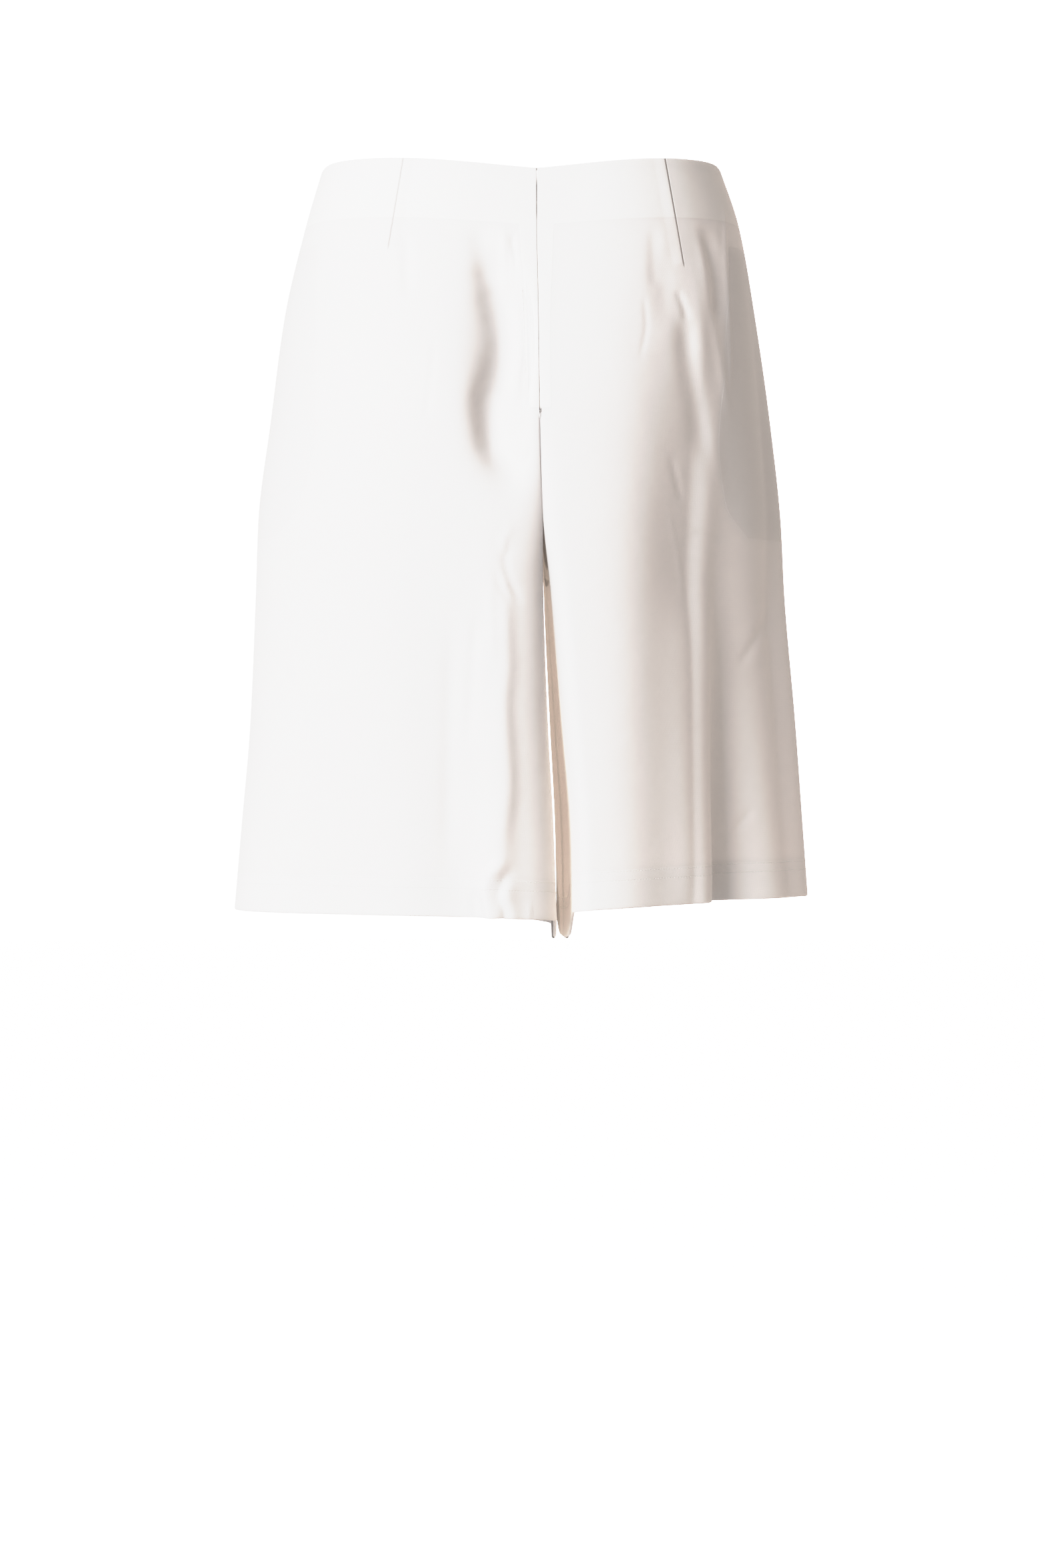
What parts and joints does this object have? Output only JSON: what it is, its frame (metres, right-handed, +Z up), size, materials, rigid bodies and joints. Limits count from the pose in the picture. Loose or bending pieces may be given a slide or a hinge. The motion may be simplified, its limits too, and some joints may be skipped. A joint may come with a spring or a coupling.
{
  "type": "bermuda shorts",
  "caption": "White wide-leg bermuda shorts in worn shape, hollow, with a faced waist, side pockets and a deep hanging fold.",
  "frame": {"origin": "centre of the waist opening, at the level of the waist edge", "axes": "+Z up, +X the wearer's left, +Y the wearer's back, so the front faces -Y"},
  "size_m": [0.4152, 0.2379, 0.5536],
  "materials": {
    "shell_cloth": "smooth matt white stretch crepe",
    "facing_cloth": "the same cloth, fused",
    "pocket_cloth": "plain white pocketing",
    "zip_tape": "woven white tape",
    "slider": "white lacquer"
  },
  "bodies": {
    "root": {"back_left": "shell_cloth", "back_right": "shell_cloth", "front_left": "shell_cloth", "front_right": "shell_cloth", "facing_back_left": "facing_cloth", "facing_back_right": "facing_cloth", "facing_front_left": "facing_cloth", "facing_front_right": "facing_cloth", "pocket_bag_left": "pocket_cloth", "pocket_bag_right": "pocket_cloth", "zip_tape_left": "zip_tape", "zip_tape_right": "zip_tape", "zip_slider": "slider"}
  },
  "joints": []
}
